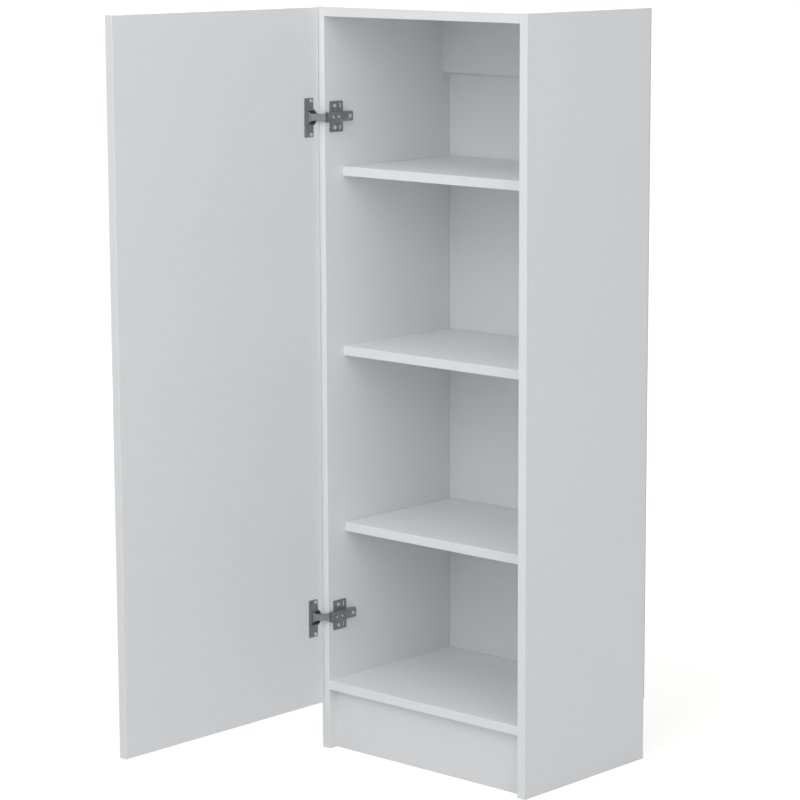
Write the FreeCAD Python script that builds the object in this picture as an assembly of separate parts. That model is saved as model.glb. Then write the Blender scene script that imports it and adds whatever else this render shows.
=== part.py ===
import FreeCAD
import Part
import math
import os

# Pantry cabinet: a tall board carcass with three shelves and one full-overlay door on two cup hinges.
# Millimetres, +Z up. X runs across the width, -Y is the front, where the door is.
# The origin is on the floor, at the middle of the width, under the middle of the toe kick board.
# The door is drawn standing open at a right angle to the front.

VEC = FreeCAD.Vector
ALONG_X = VEC(1, 0, 0)
ALONG_Y = VEC(0, 1, 0)
ALONG_Z = VEC(0, 0, 1)

# Carcass
width = 457.0
height = 1270.0
side_depth = 312.0
board = 16.0
back_board = 3.0
back_inset = 1.0  # back panel edge inside the outline of the carcass
band = 1.0  # edge band on every board edge that shows
band_round = 0.7  # trimmed corners along each band
toe_kick_height = 105.0
toe_kick_setback = 18.0
rail_height = 105.0

# Shelves, measured down from the underside of the top panel
top_bay = 251.0
shelf_pitch = 305.0
shelf_setback = 43.0
shelf_back_gap = 2.0
shelf_end_gap = 0.5

# Cam bolts, cam locks and dowels, at the ends of every fixed board
fixing_inset = 50.0  # bolt centre from the front or rear edge of a board
dowel_step = 32.0  # dowel centre from the bolt centre
bolt_thread_radius = 2.5
bolt_thread_depth = 10.5
bolt_shank_radius = 3.0
bolt_head_radius = 3.4
bolt_head_length = 4.0
bolt_reach = 34.0  # end of the board to the centre of the cam lock
lock_radius = 7.5
lock_cover = 4.5  # lock beyond the bolt's centre line
lock_slot = (9.0, 1.6, 1.8)  # screwdriver slot: length, width, depth
dowel_radius = 4.0
dowel_in_side = 10.0
dowel_in_end = 20.0
fit_gap = 0.05  # round play of a pin, bolt or dowel in its hole
hole_spare = 0.4  # hole depth past the end of what sits in it

# Shelf pins under the loose shelves
pin_radius = 2.5
pin_in_side = 9.0
pin_inset = 37.0  # pin centre from the front or rear edge of the shelf
pin_seat = (8.0, 12.0, 7.0)  # seat under the shelf: out of the wall, along it, tall

# Back panel nails
nail_radius = 0.8
nail_length = 18.0
nail_head_radius = 2.4
nail_head = 0.8
nail_pitch = 150.0
nail_end = 60.0  # first nail from the end of a row

# Door
door_board = 16.0
door_reveal = 1.5  # closed door inside the carcass outline, at each side
door_bottom = 81.0
door_top_gap = 1.0
door_closed_gap = 2.0  # closed door in front of the carcass
door_open_in = 5.1  # open door's inner face inside the left outer face
door_open_gap = 2.87  # open door's hinge edge in front of the carcass
hinge_from_top = 181.5
hinge_from_bottom = 152.5

# Hinge cup, in the door: u runs from the hinge edge, w runs into the door from its inner face
cup_radius = 15.5
cup_tab = 3.2  # cup from the hinge edge of the door
cup_depth = 11.5
cup_wall = 1.1
cup_bore_play = 0.1
flange_span = (13.6, 34.3)  # flange plate along u
flange_tall = 65.0
flange_thick = 1.2
flange_corner = 2.0
flange_notch = (28.6, 23.0)  # opening for the arm and link: end along u, height
cup_screw_pitch = 56.0
screw_radius = 1.75
screw_head_radius = 3.3
screw_head = 1.0
screw_skin = 3.0  # board left under the point of a screw
head_edge_round = 0.3
cross_recess = (0.6, 0.4)  # screwdriver cross in a screw head: width, depth

# Hinge link: pinned in the cup, its tip runs inside the hollow arm
link_pin_off = 0.8  # pin from the cup's centre, away from the hinge edge of the door
link_pin_w = 7.6
link_pin_radius = 1.2
link_eye_radius = 2.2
link_tip_in = 4.3  # tip from the side's inner face, door open
link_tip_back = 0.0  # tip behind the front of the carcass, door open
link_thick = 1.6
link_nose_radius = 1.3
link_wide = 20.0
link_taper = (3.0, 7.0)  # distances from the pin where the width changes
link_nose_gap = 0.3  # nose of the link beside each wall of the arm
link_side_gap = 0.9  # narrow part of the link beside each wall of the arm
running_gap = 0.1  # pin in the eye of the link

# Mounting plate and arm, on the side's inner face: y runs back from the front of the carcass
plate_span = (11.0, 42.0)
plate_thick = 2.0
plate_tall = 51.5
plate_corner = 2.5
plate_screw_y = 22.5
plate_screw_pitch = 36.0
plate_slot_y = 36.0
plate_slot = (4.6, 9.0)  # open slot: width, height
spine_span = (27.0, 56.0)
spine_side_gap = 0.9  # spine beside each wall of the arm
arm_span = (-5.0, 57.5)
arm_rise = 12.0  # top of the arm above the side's inner face
arm_foot = 2.4  # bottom of the arm's walls above the side's inner face
arm_wide = 16.2
arm_sheet = 1.2
arm_wall_start = -1.5  # the arm's walls begin here, its top begins at arm_span
arm_corner = 1.5
tail_start = 33.5  # the arm steps down here to its tail
tail_drop = 1.5
adjust_screws_y = (9.0, 22.0)
adjust_screw_radius = 1.9
adjust_screw_rise = 0.5
fixing_screw_y = 50.0
fixing_screw_radius = 2.0
fixing_head_radius = 3.6
fixing_slot = (41.5, 53.0)  # slot in the arm's tail, y range

# Places worked out from the sizes above
left = -width / 2
right = width / 2
inner_left = left + board
inner_right = right - board
front = -(toe_kick_setback + board / 2)
side_back = front + side_depth
back = side_back + back_board
top_under = height - board
shelf_front = front + shelf_setback
shelf_back = side_back - shelf_back_gap
shelf_tops = [top_under - top_bay - shelf_pitch * step for step in range(3)]
bottom_under = toe_kick_height
bottom_top = bottom_under + board
rail_front = side_back - board
rail_bottom = top_under - rail_height
toe_kick_front = front + toe_kick_setback

door_width = width - 2 * door_reveal
door_top = height - door_top_gap
door_face = left + door_open_in
door_edge = front - door_open_gap
hinge_heights = {
    "upper": door_top - hinge_from_top,
    "lower": door_bottom + hinge_from_bottom,
}
cup_u = cup_tab + cup_radius
link_pin_u = cup_u + link_pin_off
link_pin_x = door_face - link_pin_w
link_pin_y = door_edge - link_pin_u
link_tip_x = inner_left + link_tip_in
link_tip_y = front + link_tip_back
link_length = math.hypot(link_tip_x - link_pin_x, link_tip_y - link_pin_y)
link_angle = math.degrees(math.atan2(link_tip_y - link_pin_y, link_tip_x - link_pin_x))
arm_top = inner_left + arm_rise
tail_top = arm_top - tail_drop
arm_inside_wide = arm_wide - 2 * arm_sheet


def block(x, y, z):
    """A box between the two ends given along each axis."""
    return Part.makeBox(x[1] - x[0], y[1] - y[0], z[1] - z[0], VEC(x[0], y[0], z[0]))


def rod(start, direction, radius, length):
    return Part.makeCylinder(radius, length, start, direction)


def around(middle, size):
    """The two ends of a size set about its middle."""
    return middle - size / 2, middle + size / 2


def rounded(shape, axis, radius):
    """Round the edges of a box that run along one axis."""
    edges = []
    for edge in shape.Edges:
        run = edge.tangentAt(edge.FirstParameter)
        if abs(run.dot(axis)) > 0.999:
            edges.append(edge)
    return shape.makeFillet(radius, edges)


def band_strip(x, y, z, outward):
    """An edge band with the two long corners of its outer face trimmed round."""
    strip = block(x, y, z)
    length = max(side[1] - side[0] for side in (x, y, z))
    middle = strip.CenterOfMass
    corners = []
    for edge in strip.Edges:
        on_face = (edge.CenterOfMass - middle).dot(outward) > band / 2 - band_round / 2
        if on_face and edge.Length > length - 2 * band:
            corners.append(edge)
    return strip.makeFillet(band_round, corners)


def cut_all(shape, tools):
    """Take the tools away one after another."""
    for tool in tools:
        shape = shape.cut(tool)
    return shape


def screw_head_at(x, y, z, radius, height):
    """Screw head that stands out along X, with a rounded rim and a cross recess."""
    head = rod(VEC(x, y, z), ALONG_X, radius, height)
    rim = [edge for edge in head.Edges if edge.BoundBox.XMin > x + height / 2]
    head = head.makeFillet(head_edge_round, rim)
    across, depth = cross_recess
    floor = (x + height - depth, x + height)
    for ys, zs in ((across, radius), (radius, across)):
        head = head.cut(block(floor, around(y, ys), around(z, zs)))
    return head


def save(name, solids):
    """Write one node, made of one solid or of several separate ones."""
    shape = solids if isinstance(solids, Part.Shape) else Part.makeCompound(solids)
    shape.exportStep("parts/" + name + ".step")


def wall_end(hand):
    """Inner face of one side, and the direction from it into the cabinet."""
    if hand == "left":
        return inner_left, VEC(1, 0, 0)
    return inner_right, VEC(-1, 0, 0)


def at(x, y, z):
    return VEC(x, y, z)


# Boards that are fixed between the sides. Each lists its bolts and dowels as (y, z), and the
# direction from the board's middle to the hidden face that takes the cam locks.
def flat_board_fixings(under, board_front, board_back):
    middle = under + board / 2
    bolts = [(board_front + fixing_inset, middle), (board_back - fixing_inset, middle)]
    dowels = [
        (board_front + fixing_inset + dowel_step, middle),
        (board_back - fixing_inset - dowel_step, middle),
    ]
    return {"bolts": bolts, "dowels": dowels, "lock_face": VEC(0, 0, -1)}


def upright_board_fixings(board_front, middle):
    y = board_front + board / 2
    dowels = [(y, middle - dowel_step), (y, middle + dowel_step)]
    return {"bolts": [(y, middle)], "dowels": dowels, "lock_face": VEC(0, 1, 0)}


fixed_boards = {
    "top_panel": flat_board_fixings(top_under, front, side_back),
    "bottom_panel": flat_board_fixings(bottom_under, front, side_back),
    "middle_shelf": flat_board_fixings(shelf_tops[1] - board, shelf_front, shelf_back),
    "toe_kick": upright_board_fixings(toe_kick_front, toe_kick_height / 2),
    "wall_rail": upright_board_fixings(rail_front, rail_bottom + rail_height / 2),
}


def bolt(face, inward, y, z):
    """Cam bolt: thread in the side, shank and head in the board."""
    start = at(face, y, z)
    thread = rod(start, inward * -1, bolt_thread_radius, bolt_thread_depth)
    shank = rod(start, inward, bolt_shank_radius, bolt_reach - bolt_head_length)
    head_start = start + inward * (bolt_reach - bolt_head_length)
    head = rod(head_start, inward, bolt_head_radius, bolt_head_length)
    return thread.fuse(shank).fuse(head).removeSplitter()


def bolt_bore(face, inward, y, z):
    """The bore along a board that clears the bolt's head."""
    return rod(at(face, y, z), inward, bolt_head_radius + fit_gap, bolt_reach + hole_spare)


def lock(face, inward, y, z, lock_face, play):
    """Cam lock body, from the hidden face of the board to just past the bolt."""
    middle = at(face, y, z) + inward * bolt_reach
    start = middle + lock_face * (board / 2)
    return rod(start, lock_face * -1, lock_radius + play, board / 2 + lock_cover + play)


def lock_with_slot(face, inward, y, z, lock_face):
    body = lock(face, inward, y, z, lock_face, 0)
    length, across, depth = lock_slot
    middle = at(face, y, z) + inward * bolt_reach + lock_face * (board / 2)
    slot = block(around(0, length), around(0, across), around(0, 2 * depth))
    if abs(lock_face.y) > 0.5:
        slot.rotate(VEC(0, 0, 0), ALONG_X, 90)
    slot.translate(middle)
    return body.cut(bolt_bore(face, inward, y, z)).cut(slot)


def dowel(face, inward, y, z, play=0.0, spare=0.0):
    start = at(face, y, z) - inward * (dowel_in_side + spare)
    return rod(start, inward, dowel_radius + play, dowel_in_side + dowel_in_end + 2 * spare)


def board_bores(name):
    """Bores for bolts, locks and dowels at both ends of a fixed board."""
    fixings = fixed_boards[name]
    bores = []
    for hand in ("left", "right"):
        face, inward = wall_end(hand)
        for y, z in fixings["bolts"]:
            bores.append(bolt_bore(face, inward, y, z))
            bores.append(lock(face, inward, y, z, fixings["lock_face"], fit_gap))
        for y, z in fixings["dowels"]:
            bores.append(dowel(face, inward, y, z, fit_gap, hole_spare))
    return bores


# Loose shelves rest on four pins each
loose_shelves = {"upper_shelf": shelf_tops[0] - board, "lower_shelf": shelf_tops[2] - board}
pin_rows = [shelf_front + pin_inset, shelf_back - pin_inset]


def shelf_pin_places():
    places = []
    for under in loose_shelves.values():
        for y in pin_rows:
            places.append((y, under - pin_seat[2] / 2))
    return places


def shelf_pin(face, inward, y, z):
    out, along, tall = pin_seat
    stem = rod(at(face, y, z), inward * -1, pin_radius, pin_in_side)
    ends = sorted((face, face + inward.x * out))
    seat = block(ends, around(y, along), around(z, tall))
    return stem.fuse(seat)


# Nails through the back panel: rows up the sides and along the top, middle and bottom boards
def spread(start, end, pitch):
    """Evenly spaced places between two ends, no further apart than the pitch."""
    gaps = max(1, math.ceil((end - start) / pitch))
    return [start + (end - start) * step / gaps for step in range(gaps + 1)]


def nail_places():
    places = []
    for x in (left + board / 2, right - board / 2):
        for z in spread(bottom_under + nail_end, height - nail_end, nail_pitch):
            places.append((x, z))
    for under in (bottom_under, top_under):
        for x in spread(inner_left + nail_end, inner_right - nail_end, nail_pitch):
            places.append((x, under + board / 2))
    return places


def nail(x, z, play=0.0):
    start = at(x, back, z)
    head = rod(start, ALONG_Y * -1, nail_head_radius + play, nail_head + play)
    shank = rod(start, ALONG_Y * -1, nail_radius + play, nail_length + play)
    return head.fuse(shank)


# Side panels
def plate_screw_places(hinge_z):
    y = front + plate_screw_y
    return [(y, hinge_z - plate_screw_pitch / 2), (y, hinge_z + plate_screw_pitch / 2)]


def plate_screw(y, z, play=0.0):
    """Screw into the left side; its head lies on the mounting plate."""
    plate_face = inner_left + plate_thick
    point = board - screw_skin + plate_thick
    shank = rod(at(plate_face, y, z), ALONG_X * -1, screw_radius + play, point + play)
    if play:
        return shank
    return shank.fuse(screw_head_at(plate_face, y, z, screw_head_radius, screw_head))


def side_panel(hand):
    face, inward = wall_end(hand)
    outer = left if hand == "left" else right
    panel = block(sorted((outer, face)), (front + band, side_back), (0, height))
    bores = []
    for fixings in fixed_boards.values():
        for y, z in fixings["bolts"]:
            depth = bolt_thread_depth + hole_spare
            bores.append(rod(at(face, y, z), inward * -1, bolt_thread_radius + fit_gap, depth))
        for y, z in fixings["dowels"]:
            bores.append(dowel(face, inward, y, z, fit_gap, hole_spare))
    for y, z in shelf_pin_places():
        depth = pin_in_side + hole_spare
        bores.append(rod(at(face, y, z), inward * -1, pin_radius + fit_gap, depth))
    for x, z in nail_places():
        if abs(x - outer) < board:
            bores.append(nail(x, z, fit_gap))
    if hand == "left":
        for hinge_z in hinge_heights.values():
            for y, z in plate_screw_places(hinge_z):
                bores.append(plate_screw(y, z, fit_gap))
    return cut_all(panel, bores)


def between_sides(y, z, end_gap=0.0):
    return block((inner_left + end_gap, inner_right - end_gap), y, z)


def make_boards():
    save("left_side", side_panel("left"))
    save("right_side", side_panel("right"))
    nails = [nail(x, z, fit_gap) for x, z in nail_places()]
    top = between_sides((front + band, side_back), (top_under, height))
    save("top_panel", cut_all(top, board_bores("top_panel") + nails))
    bottom = between_sides((front + band, side_back), (bottom_under, bottom_top))
    save("bottom_panel", cut_all(bottom, board_bores("bottom_panel") + nails))
    shelf = between_sides((shelf_front + band, shelf_back), (shelf_tops[1] - board, shelf_tops[1]))
    save("middle_shelf", cut_all(shelf, board_bores("middle_shelf")))
    for name, under in loose_shelves.items():
        rows = (shelf_front + band, shelf_back)
        save(name, between_sides(rows, (under, under + board), shelf_end_gap))
    kick = between_sides((toe_kick_front, toe_kick_front + board), (0, toe_kick_height))
    save("toe_kick", cut_all(kick, board_bores("toe_kick")))
    rail = between_sides((rail_front, side_back), (rail_bottom, top_under))
    save("wall_rail", cut_all(rail, board_bores("wall_rail")))
    across = (left + back_inset, right - back_inset)
    panel = block(across, (side_back, back), (bottom_under, height - back_inset))
    save("back_panel", cut_all(panel, nails))
    save("back_panel_nails", [nail(x, z) for x, z in nail_places()])


def front_band(x, y_front, z):
    return band_strip(x, (y_front, y_front + band), z, VEC(0, -1, 0))


def make_edge_bands():
    across = (inner_left, inner_right)
    middle_heights = (shelf_tops[1] - board, shelf_tops[1])
    bands = [
        front_band((left, inner_left), front, (0, height)),
        front_band((inner_right, right), front, (0, height)),
        front_band(across, front, (top_under, height)),
        front_band(across, front, (bottom_under, bottom_top)),
        front_band(across, shelf_front, middle_heights),
    ]
    loose_across = (inner_left + shelf_end_gap, inner_right - shelf_end_gap)
    for under in loose_shelves.values():
        bands.append(front_band(loose_across, shelf_front, (under, under + board)))
    save("carcass_edge_bands", bands)


def make_carcass_fixings():
    bolts = []
    locks = []
    dowels = []
    pins = []
    for hand in ("left", "right"):
        face, inward = wall_end(hand)
        for fixings in fixed_boards.values():
            for y, z in fixings["bolts"]:
                bolts.append(bolt(face, inward, y, z))
                locks.append(lock_with_slot(face, inward, y, z, fixings["lock_face"]))
            for y, z in fixings["dowels"]:
                dowels.append(dowel(face, inward, y, z))
        for y, z in shelf_pin_places():
            pins.append(shelf_pin(face, inward, y, z))
    save("cam_bolts", bolts)
    save("cam_locks", locks)
    save("wood_dowels", dowels)
    save("shelf_pins", pins)


# The door stands open: w runs along -X from its inner face, u runs along -Y from its hinge edge
def door_block(u, w, z):
    return block((door_face - w[1], door_face - w[0]), (door_edge - u[1], door_edge - u[0]), z)


def door_band(u, z, outward):
    """A band through the door's thickness, on the edge that faces outward."""
    x = (door_face - door_board, door_face)
    return band_strip(x, (door_edge - u[1], door_edge - u[0]), z, outward)


def door_rod(u, w, z, radius, depth):
    """A round bar that starts at depth w and runs on into the door."""
    return rod(at(door_face - w, door_edge - u, z), ALONG_X * -1, radius, depth)


def cup_screw_heights(hinge_z):
    return hinge_z - cup_screw_pitch / 2, hinge_z + cup_screw_pitch / 2


def cup_screw(z, play=0.0):
    shank = door_rod(cup_u, -flange_thick, z, screw_radius + play,
                     door_board - screw_skin + flange_thick + play)
    if play:
        return shank
    y = door_edge - cup_u
    return shank.fuse(screw_head_at(door_face + flange_thick, y, z, screw_head_radius, screw_head))


def make_door():
    heights = (door_bottom, door_top)
    core = (band, door_width - band)
    core_heights = (door_bottom + band, door_top - band)
    panel = door_block(core, (0, door_board), core_heights)
    bores = []
    for hinge_z in hinge_heights.values():
        bores.append(door_rod(cup_u, 0, hinge_z, cup_radius + cup_bore_play, cup_depth))
        for z in cup_screw_heights(hinge_z):
            bores.append(cup_screw(z, fit_gap))
    save("door_panel", cut_all(panel, bores))
    save("door_edge_bands", [
        door_band((0, band), heights, VEC(0, 1, 0)),
        door_band((door_width - band, door_width), heights, VEC(0, -1, 0)),
        door_band(core, (door_bottom, door_bottom + band), VEC(0, 0, -1)),
        door_band(core, (door_top - band, door_top), VEC(0, 0, 1)),
    ])


def link_pin(hinge_z, play=0.0):
    half = math.sqrt((cup_radius - cup_wall / 2) ** 2 - link_pin_off ** 2)
    start = at(link_pin_x, link_pin_y, hinge_z - half)
    return rod(start, ALONG_Z, link_pin_radius + play, 2 * half)


def hinge_cup(hinge_z):
    """Pressed cup with its flange plate, notched for the arm and the link."""
    plate = door_block(flange_span, (-flange_thick, 0), around(hinge_z, flange_tall))
    plate = rounded(plate, ALONG_X, flange_corner)
    hollow = door_rod(cup_u, 0, hinge_z, cup_radius - cup_wall, cup_depth - cup_wall)
    cup = door_rod(cup_u, 0, hinge_z, cup_radius, cup_depth).cut(hollow)
    notch_u, notch_tall = flange_notch
    notch = door_block((0, notch_u), (-2 * flange_thick, 0), around(hinge_z, notch_tall))
    holes = [cup_screw(z, fit_gap) for z in cup_screw_heights(hinge_z)]
    return cut_all(plate.cut(notch).fuse(cup), holes + [link_pin(hinge_z, fit_gap)])


def hinge_link(hinge_z):
    """Bow-shaped link drawn along X from its pin, then turned to its place."""
    wide = link_wide / 2
    narrow = arm_inside_wide / 2 - link_side_gap
    taper_start, taper_end = link_taper
    corners = [
        (0, -wide), (taper_start, -wide), (taper_end, -narrow), (link_length, -narrow),
        (link_length, narrow), (taper_end, narrow), (taper_start, wide), (0, wide),
    ]
    points = [at(x, -link_thick / 2, z) for x, z in corners + corners[:1]]
    plate = Part.Face(Part.makePolygon(points)).extrude(VEC(0, link_thick, 0))
    eye = rod(at(0, 0, -wide), ALONG_Z, link_eye_radius, link_wide)
    nose_wide = arm_inside_wide - 2 * link_nose_gap
    nose = rod(at(link_length, 0, -nose_wide / 2), ALONG_Z, link_nose_radius, nose_wide)
    bore = rod(at(0, 0, -wide), ALONG_Z, link_pin_radius + running_gap, link_wide)
    link = plate.fuse(eye).fuse(nose).cut(bore).removeSplitter()
    link.rotate(VEC(0, 0, 0), ALONG_Z, link_angle)
    link.translate(at(link_pin_x, link_pin_y, hinge_z))
    return link


def plate_slot_cut(y, z):
    """Upright slot with round ends, through a wing of the mounting plate."""
    across, tall = plate_slot
    straight = tall - across
    slot = block((inner_left, inner_left + plate_thick), around(y, across), around(z, straight))
    for end in around(z, straight):
        slot = slot.fuse(rod(at(inner_left, y, end), ALONG_X, across / 2, plate_thick))
    return slot


def fixing_screw(hinge_z, play=0.0):
    """Screw from the tail of the arm down into the spine of the mounting plate."""
    start = at(tail_top, front + fixing_screw_y, hinge_z)
    depth = tail_top - inner_left - plate_thick
    shank = rod(start, ALONG_X * -1, fixing_screw_radius + play, depth + play)
    if play:
        return shank
    return shank.fuse(screw_head_at(start.x, start.y, start.z, fixing_head_radius, screw_head))


def mounting_plate(hinge_z):
    ys = tuple(front + y for y in plate_span)
    wings = block((inner_left, inner_left + plate_thick), ys, around(hinge_z, plate_tall))
    wings = rounded(wings, ALONG_X, plate_corner)
    spine_ys = tuple(front + y for y in spine_span)
    spine_zs = around(hinge_z, arm_inside_wide - 2 * spine_side_gap)
    spine = block((inner_left, tail_top - arm_sheet), spine_ys, spine_zs)
    holes = [fixing_screw(hinge_z, fit_gap)]
    for y, z in plate_screw_places(hinge_z):
        holes.append(plate_screw(y, z, fit_gap))
        holes.append(plate_slot_cut(front + plate_slot_y, z))
    return cut_all(wings.fuse(spine), holes)


def adjust_screw(y, hinge_z, play=0.0):
    start = at(arm_top - arm_sheet, front + y, hinge_z)
    if play:
        return rod(start, ALONG_X, adjust_screw_radius + play, arm_sheet)
    height = arm_sheet + adjust_screw_rise
    return screw_head_at(start.x, start.y, start.z, adjust_screw_radius, height)


def arm_stretch(ys, top, hinge_z):
    """One straight stretch of the arm's outside, with its two top corners rounded."""
    stretch = block((inner_left + arm_foot, top), ys, around(hinge_z, arm_wide))
    length = ys[1] - ys[0]
    corners = []
    for edge in stretch.Edges:
        box = edge.BoundBox
        if box.XMin > top - arm_sheet and box.YLength > length - arm_sheet:
            corners.append(edge)
    return stretch.makeFillet(arm_corner, corners)


def hinge_arm(hinge_z):
    """Hollow arm, open towards the side, stepped down at its tail, cut back at the front."""
    start, end = (front + y for y in arm_span)
    step = front + tail_start
    foot = inner_left + arm_foot
    outside = arm_stretch((start, step), arm_top, hinge_z)
    outside = outside.fuse(arm_stretch((step - arm_sheet, end), tail_top, hinge_z))
    inside = around(hinge_z, arm_inside_wide)
    hollows = [
        block((foot, arm_top - arm_sheet), (start, step - arm_sheet), inside),
        block((foot, tail_top - arm_sheet), (step - 2 * arm_sheet, end), inside),
    ]
    nose_ys = (start, front + arm_wall_start)
    nose_cut = block((foot, arm_top - arm_sheet), nose_ys, around(hinge_z, arm_wide))
    slot_ys = tuple(front + y for y in fixing_slot)
    across = around(hinge_z, 2 * (fixing_screw_radius + fit_gap))
    slot = block((tail_top - arm_sheet, tail_top), slot_ys, across)
    holes = [adjust_screw(y, hinge_z, fit_gap) for y in adjust_screws_y]
    return cut_all(outside, hollows + [nose_cut, slot] + holes).removeSplitter()


def make_hinges():
    plate_screws = []
    cup_screws = []
    fixing_screws = []
    adjust_screws = []
    link_pins = []
    for name, hinge_z in hinge_heights.items():
        save(name + "_mounting_plate", mounting_plate(hinge_z))
        save(name + "_hinge_arm", hinge_arm(hinge_z))
        save(name + "_hinge_cup", hinge_cup(hinge_z))
        save(name + "_hinge_link", hinge_link(hinge_z))
        plate_screws += [plate_screw(y, z) for y, z in plate_screw_places(hinge_z)]
        cup_screws += [cup_screw(z) for z in cup_screw_heights(hinge_z)]
        fixing_screws.append(fixing_screw(hinge_z))
        adjust_screws += [adjust_screw(y, hinge_z) for y in adjust_screws_y]
        link_pins.append(link_pin(hinge_z))
    save("mounting_plate_screws", plate_screws)
    save("hinge_cup_screws", cup_screws)
    save("arm_fixing_screws", fixing_screws)
    save("arm_adjusting_screws", adjust_screws)
    save("link_pins", link_pins)


os.makedirs("parts", exist_ok=True)
make_boards()
make_edge_bands()
make_carcass_fixings()
make_door()
make_hinges()
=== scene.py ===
import math

import bpy
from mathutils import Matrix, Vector


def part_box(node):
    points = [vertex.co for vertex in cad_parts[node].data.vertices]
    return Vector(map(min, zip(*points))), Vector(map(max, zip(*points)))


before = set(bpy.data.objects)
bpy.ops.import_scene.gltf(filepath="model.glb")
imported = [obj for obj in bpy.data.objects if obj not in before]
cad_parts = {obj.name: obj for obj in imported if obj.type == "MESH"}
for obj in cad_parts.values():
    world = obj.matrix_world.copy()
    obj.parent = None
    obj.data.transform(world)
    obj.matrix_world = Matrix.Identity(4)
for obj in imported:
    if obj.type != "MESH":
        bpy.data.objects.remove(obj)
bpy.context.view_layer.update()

MM = 0.001

# Where the cabinet is: all of it in metres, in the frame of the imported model
side_low, side_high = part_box("left_side")
carcass_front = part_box("carcass_edge_bands")[0].y
carcass_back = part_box("back_panel")[1].y
carcass_height = side_high.z
skin = 0.3 * MM  # a bare edge starts this far inside the end of its board

# The view: the camera looks at a point on the front plane of the carcass, from the right and above
view_azimuth = 41.53
view_elevation = 9.77
view_distance = 4.7253
view_aim = Vector((0.0902, carcass_front, 0.6475))
view_lens = 131.2
view_shift = (-0.0761, -0.0020)


class Value:
    """A number that varies over a surface: arithmetic on it adds Math nodes."""

    def __init__(self, nodes, socket):
        self.nodes = nodes
        self.socket = socket

    def math(self, operation, *others, clamp=False):
        sockets = dict(enumerate((self,) + others))
        settings = {"operation": operation, "use_clamp": clamp}
        return self.nodes.add("ShaderNodeMath", settings, sockets)["Value"]

    def __add__(self, other):
        return self.math("ADD", other)

    def __radd__(self, other):
        return self.math("ADD", other)

    def __mul__(self, other):
        return self.math("MULTIPLY", other)

    def __rmul__(self, other):
        return self.math("MULTIPLY", other)

    def __sub__(self, other):
        return self.math("SUBTRACT", other)

    def __rsub__(self, other):
        return self * -1 + other

    def __gt__(self, other):
        return self.math("GREATER_THAN", other)

    def __lt__(self, other):
        return self.math("LESS_THAN", other)

    def maximum(self, other):
        return self.math("MAXIMUM", other)

    def clamped(self):
        return self.math("ADD", 0.0, clamp=True)


class Outputs:
    """The outputs of one node: by name as a value, or raw for colours, vectors and shaders."""

    def __init__(self, nodes, node):
        self.nodes = nodes
        self.node = node

    def __getitem__(self, name):
        return Value(self.nodes, self.node.outputs[name])

    def raw(self, name):
        return self.node.outputs[name]


class Nodes:
    """An emptied node tree, and what is added to it."""

    def __init__(self, tree):
        self.tree = tree
        tree.nodes.clear()

    def add(self, kind, settings=None, sockets=None):
        """Adds one node: its settings first, then the values and links of its sockets."""
        node = self.tree.nodes.new(kind)
        for name, value in (settings or {}).items():
            if name == "stops":
                set_stops(node.color_ramp, value)
            else:
                setattr(node, name, value)
        for name, value in (sockets or {}).items():
            if isinstance(value, Value):
                self.tree.links.new(value.socket, node.inputs[name])
            elif isinstance(value, bpy.types.NodeSocket):
                self.tree.links.new(value, node.inputs[name])
            else:
                node.inputs[name].default_value = value
        return Outputs(self, node)

    def place(self):
        """The place of a point on the object."""
        return self.add("ShaderNodeTexCoord").raw("Object")

    def along(self, point, axis):
        """One coordinate of a point, as a value."""
        return self.add("ShaderNodeSeparateXYZ", None, {"Vector": point})[axis]

    def stretched(self, point, scale):
        settings = {"vector_type": "POINT"}
        return self.add("ShaderNodeMapping", settings, {"Vector": point, "Scale": scale}).raw("Vector")

    def noise(self, point, scale, detail=2.0, roughness=0.5):
        sockets = {"Vector": point, "Scale": scale, "Detail": detail, "Roughness": roughness}
        return self.add("ShaderNodeTexNoise", None, sockets)["Fac"]

    def ramp(self, value, stops):
        return self.add("ShaderNodeValToRGB", {"stops": stops}, {"Fac": value}).raw("Color")

    def mix(self, factor, first, second):
        """Mixes two colours. The colour mix has its factor, inputs and output at 0, 6, 7 and 2."""
        node = self.add("ShaderNodeMix", {"data_type": "RGBA"}, {0: factor, 6: first, 7: second})
        return node.raw(2)

    def mix_shaders(self, factor, first, second):
        return self.add("ShaderNodeMixShader", None, {0: factor, 1: first, 2: second}).raw("Shader")

    def bump(self, height, strength, distance):
        sockets = {"Height": height, "Strength": strength, "Distance": distance}
        return self.add("ShaderNodeBump", None, sockets).raw("Normal")

    def output(self, shader, kind="ShaderNodeOutputMaterial"):
        self.add(kind, None, {"Surface": shader})


class Finish(Nodes):
    """One material and the nodes that make it."""

    def __init__(self, name):
        self.material = bpy.data.materials.new(name)
        self.material.use_nodes = True
        super().__init__(self.material.node_tree)

    def surface(self, **sockets):
        """The principled shader, wired to the output."""
        named = {name.replace("_", " "): value for name, value in sockets.items()}
        self.output(self.add("ShaderNodeBsdfPrincipled", None, named).raw("BSDF"))
        return self.material


def set_stops(ramp, stops):
    while len(ramp.elements) > 1:
        ramp.elements.remove(ramp.elements[-1])
    for index, (place, colour) in enumerate(stops):
        element = ramp.elements[0] if index == 0 else ramp.elements.new(place)
        element.position = place
        element.color = colour


def rgb(red, green, blue):
    """A colour given as it looks on a screen, 0 to 255, turned to the linear values of a shader."""
    linear = []
    for part in (red, green, blue):
        share = part / 255
        linear.append(share / 12.92 if share <= 0.04045 else ((share + 0.055) / 1.055) ** 2.4)
    return (*linear, 1.0)


board_white = rgb(238, 239, 240)
board_shade = rgb(235, 236, 237)
band_white = rgb(242, 243, 244)
plastic_gloss = 1.5  # index of refraction of melamine, lacquer and edge band


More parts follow.
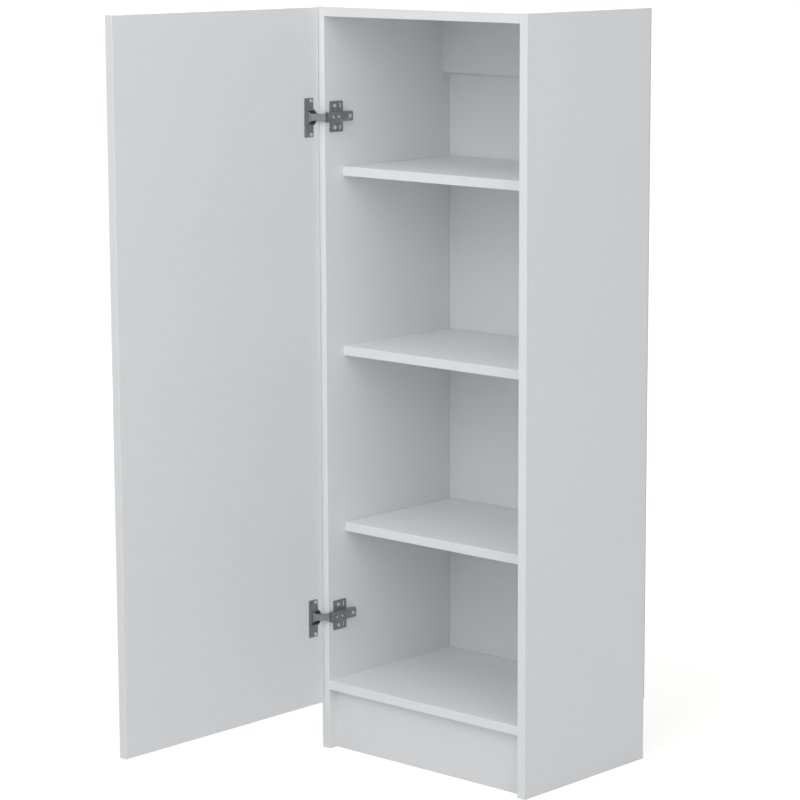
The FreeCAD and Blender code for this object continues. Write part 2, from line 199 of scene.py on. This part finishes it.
def clouded_white(finish, point, cloud_scale):
    """Board white with a hardly visible drift of shade."""
    return finish.mix(finish.noise(point, cloud_scale), board_shade, board_white)


def pebble(finish, point):
    """The fine pressed grain of melamine paper: small soft pits over longer, lower waves."""
    fine = finish.noise(point, 1500.0, 3.0, 0.6)
    broad = finish.noise(point, 260.0, 1.0)
    return finish.bump(fine * 0.7 + broad * 0.3, 0.10, 0.12 * MM)


def chipboard(finish, point):
    """Bare particle board, for the edges that carry no band."""
    flakes = finish.add("ShaderNodeTexVoronoi", None, {"Vector": point, "Scale": 420.0})
    tint = finish.ramp(flakes["Distance"], [(0.0, rgb(120, 92, 62)), (0.4, rgb(176, 143, 104)),
                                            (1.0, rgb(206, 178, 138))])
    dust = finish.noise(point, 1900.0, 3.0, 0.7)
    return finish.mix(dust * 0.35, tint, rgb(146, 112, 76))


def melamine_board(name, has_bare_edges):
    """White melamine board; the carcass boards are bare on their rear edge and on their foot."""
    finish = Finish(name)
    point = finish.place()
    colour = clouded_white(finish, point, 5.0)
    rough = 0.40 + finish.noise(point, 14.0, 3.0) * 0.10
    if has_bare_edges:
        at_rear = finish.along(point, "Y") > side_high.y - skin
        bare = at_rear.maximum(finish.along(point, "Z") < side_low.z + skin)
        colour = finish.mix(bare, colour, chipboard(finish, point))
        rough = rough + bare * 0.4
    return finish.surface(Base_Color=colour, Roughness=rough, Normal=pebble(finish, point),
                          IOR=plastic_gloss)


def edge_band(name):
    """Trimmed plastic edge band: smoother than the board, with faint marks along its length."""
    finish = Finish(name)
    streaks = finish.noise(finish.stretched(finish.place(), (900.0, 900.0, 14.0)), 1.0)
    colour = finish.mix(streaks * 0.5, band_white, board_white)
    return finish.surface(Base_Color=colour, Roughness=0.34 + streaks * 0.08,
                          Normal=finish.bump(streaks, 0.08, 0.05 * MM), IOR=plastic_gloss)


def hardboard(name):
    """Thin fibre board: white lacquer on the inside, bare pressed fibre and a mesh print behind."""
    finish = Finish(name)
    point = finish.place()
    behind = finish.along(point, "Y") > carcass_back - skin
    fibres = finish.noise(finish.stretched(point, (1.0, 1.0, 0.35)), 700.0, 5.0, 0.7)
    brown = finish.ramp(fibres, [(0.25, rgb(101, 76, 54)), (0.6, rgb(139, 108, 78)),
                                 (0.9, rgb(164, 133, 100))])
    mesh = finish.add("ShaderNodeTexVoronoi", {"distance": "CHEBYCHEV"},
                      {"Vector": point, "Scale": 600.0, "Randomness": 0.15})
    height = finish.noise(point, 300.0, 1.0) * 0.4 + behind * mesh["Distance"]
    return finish.surface(Base_Color=finish.mix(behind, clouded_white(finish, point, 4.0), brown),
                          Roughness=0.42 + behind * 0.35 + fibres * 0.05,
                          Normal=finish.bump(height, 0.12, 0.2 * MM), IOR=plastic_gloss)


def plated_steel(name, dark, light, roughness):
    """Nickel-plated pressed steel: brushed along the sheet, with dull patches where it was rolled."""
    finish = Finish(name)
    point = finish.place()
    brushed = finish.noise(finish.stretched(point, (300.0, 300.0, 2400.0)), 1.0, 3.0, 0.6)
    patches = finish.noise(point, 240.0, 3.0, 0.65)
    metal = finish.mix((patches * 2.4 - 0.7).clamped(), dark, light)
    return finish.surface(Base_Color=metal, Metallic=0.9,
                          Roughness=roughness + brushed * 0.12 + patches * 0.06,
                          Normal=finish.bump(brushed, 0.15, 0.03 * MM))


def turned_metal(name, dark, light, roughness):
    """Small plated fasteners and castings."""
    finish = Finish(name)
    speckle = finish.noise(finish.place(), 1400.0, 3.0, 0.6)
    return finish.surface(Base_Color=finish.mix(speckle, dark, light), Metallic=1.0,
                          Roughness=roughness + speckle * 0.12,
                          Normal=finish.bump(speckle, 0.10, 0.04 * MM))


def beech(name):
    """Pale beech with short dark flecks along the dowel."""
    finish = Finish(name)
    grain = finish.noise(finish.stretched(finish.place(), (60.0, 900.0, 900.0)), 1.0, 4.0, 0.65)
    colour = finish.ramp(grain, [(0.3, rgb(178, 132, 88)), (0.55, rgb(209, 168, 122)),
                                 (0.8, rgb(224, 189, 146))])
    return finish.surface(Base_Color=colour, Roughness=0.55 + grain * 0.15,
                          Normal=finish.bump(grain, 0.3, 0.1 * MM))


def dress(material, *nodes):
    """Gives every slot of the CAD nodes one material."""
    for node in nodes:
        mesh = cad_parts[node].data
        if not mesh.materials:
            mesh.materials.append(material)
        for slot in range(len(mesh.materials)):
            mesh.materials[slot] = material


def dress_cabinet():
    dress(melamine_board("white_melamine", True),
          "left_side", "right_side", "top_panel", "bottom_panel", "upper_shelf", "middle_shelf",
          "lower_shelf", "toe_kick", "wall_rail")
    dress(melamine_board("white_melamine_door", False), "door_panel")
    dress(edge_band("white_edge_band"), "carcass_edge_bands", "door_edge_bands")
    dress(hardboard("white_hardboard"), "back_panel")
    dress(beech("beech_dowel"), "wood_dowels")
    dress(turned_metal("zinc_casting", rgb(150, 150, 152), rgb(182, 182, 184), 0.42), "cam_locks")


def dress_hinges():
    dress(plated_steel("nickel_plated_steel", rgb(134, 134, 136), rgb(180, 180, 181), 0.32),
          "upper_mounting_plate", "lower_mounting_plate", "upper_hinge_arm", "lower_hinge_arm",
          "upper_hinge_cup", "lower_hinge_cup")
    dress(plated_steel("link_steel", rgb(112, 113, 115), rgb(136, 137, 139), 0.30),
          "upper_hinge_link", "lower_hinge_link")
    dress(turned_metal("bright_screw", rgb(224, 224, 225), rgb(240, 240, 240), 0.24),
          "mounting_plate_screws", "hinge_cup_screws", "arm_fixing_screws",
          "arm_adjusting_screws", "link_pins", "shelf_pins", "cam_bolts", "back_panel_nails")


def to_cameras(nodes):
    """1 for what the camera sees directly, in gloss or through glass, 0 for light on the object."""
    path = nodes.add("ShaderNodeLightPath")
    seen = path["Is Camera Ray"].maximum(path["Is Glossy Ray"])
    return seen.maximum(path["Is Transmission Ray"])


def pale_floor():
    """White to the camera where it is fully lit, greyer in the cabinet's soft shadow.

    The floor is dimmer far from the lamps, so the share of glow grows with the distance.
    """
    near_share, far_share = 0.37, 0.50
    near_reach, far_reach = 0.8, 3.8
    finish = Finish("pale_floor")
    lit = finish.add("ShaderNodeBsdfDiffuse", None, {"Color": rgb(227, 227, 227)}).raw("BSDF")
    glow = finish.add("ShaderNodeEmission", None, {"Strength": 1.9}).raw("Emission")
    length = {"operation": "LENGTH"}
    distance = finish.add("ShaderNodeVectorMath", length, {0: finish.place()})["Value"]
    outward = ((distance - near_reach) * (1 / (far_reach - near_reach))).clamped()
    share = to_cameras(finish) * (near_share + outward * (far_share - near_share))
    finish.output(finish.mix_shaders(share, lit, glow))
    return finish.material


def lay_floor():
    reach = 30.0
    under_feet = -0.2 * MM
    ends = ((-reach, -reach), (reach, -reach), (reach, reach), (-reach, reach))
    mesh = bpy.data.meshes.new("floor")
    mesh.from_pydata([(x, y, under_feet) for x, y in ends], [], [(0, 1, 2, 3)])
    mesh.materials.append(pale_floor())
    floor = bpy.data.objects.new("floor", mesh)
    bpy.context.scene.collection.objects.link(floor)


def light_world(strength):
    """Even light all round, and plain white behind the cabinet."""
    world = bpy.data.worlds.new("white_room")
    bpy.context.scene.world = world
    world.use_nodes = True
    nodes = Nodes(world.node_tree)
    white = (1, 1, 1, 1)
    room = nodes.add("ShaderNodeBackground", None, {"Color": white, "Strength": strength})
    backdrop = nodes.add("ShaderNodeBackground", None, {"Color": white, "Strength": 1.0})
    shaders = (room.raw("Background"), backdrop.raw("Background"))
    nodes.output(nodes.mix_shaders(to_cameras(nodes), *shaders), "ShaderNodeOutputWorld")


def area_light(name, place, size, power):
    """A square lamp that faces the middle of the cabinet."""
    lamp = bpy.data.lights.new(name, "AREA")
    lamp.size = size
    lamp.energy = power
    light = bpy.data.objects.new(name, lamp)
    light.location = place
    away = Vector(place) - Vector((0, 0, carcass_height / 2))
    light.rotation_euler = away.to_track_quat("Z", "Y").to_euler()
    bpy.context.scene.collection.objects.link(light)


def light_cabinet():
    light_world(0.32)
    area_light("overhead", (0.0, -0.2, 3.6), 3.2, 32)
    area_light("front", (0.9, -3.8, 2.7), 2.4, 31)
    area_light("front_high", (0.5, -2.6, 3.2), 2.2, 19)
    area_light("right", (3.4, -1.2, 2.0), 2.4, 31)
    area_light("rear_left", (-2.6, 2.9, 2.2), 2.4, 30)


def place_camera():
    azimuth, elevation = math.radians(view_azimuth), math.radians(view_elevation)
    away = Vector((math.sin(azimuth) * math.cos(elevation),
                   -math.cos(azimuth) * math.cos(elevation), math.sin(elevation)))
    lens = bpy.data.cameras.new("camera")
    lens.sensor_width = 36.0
    lens.lens = view_lens
    lens.shift_x, lens.shift_y = view_shift
    camera = bpy.data.objects.new("camera", lens)
    camera.location = view_aim + away * view_distance
    camera.rotation_euler = away.to_track_quat("Z", "Y").to_euler()
    bpy.context.scene.collection.objects.link(camera)
    bpy.context.scene.camera = camera


place_camera()
dress_cabinet()
dress_hinges()
lay_floor()
light_cabinet()
bpy.context.scene.view_settings.view_transform = "Standard"
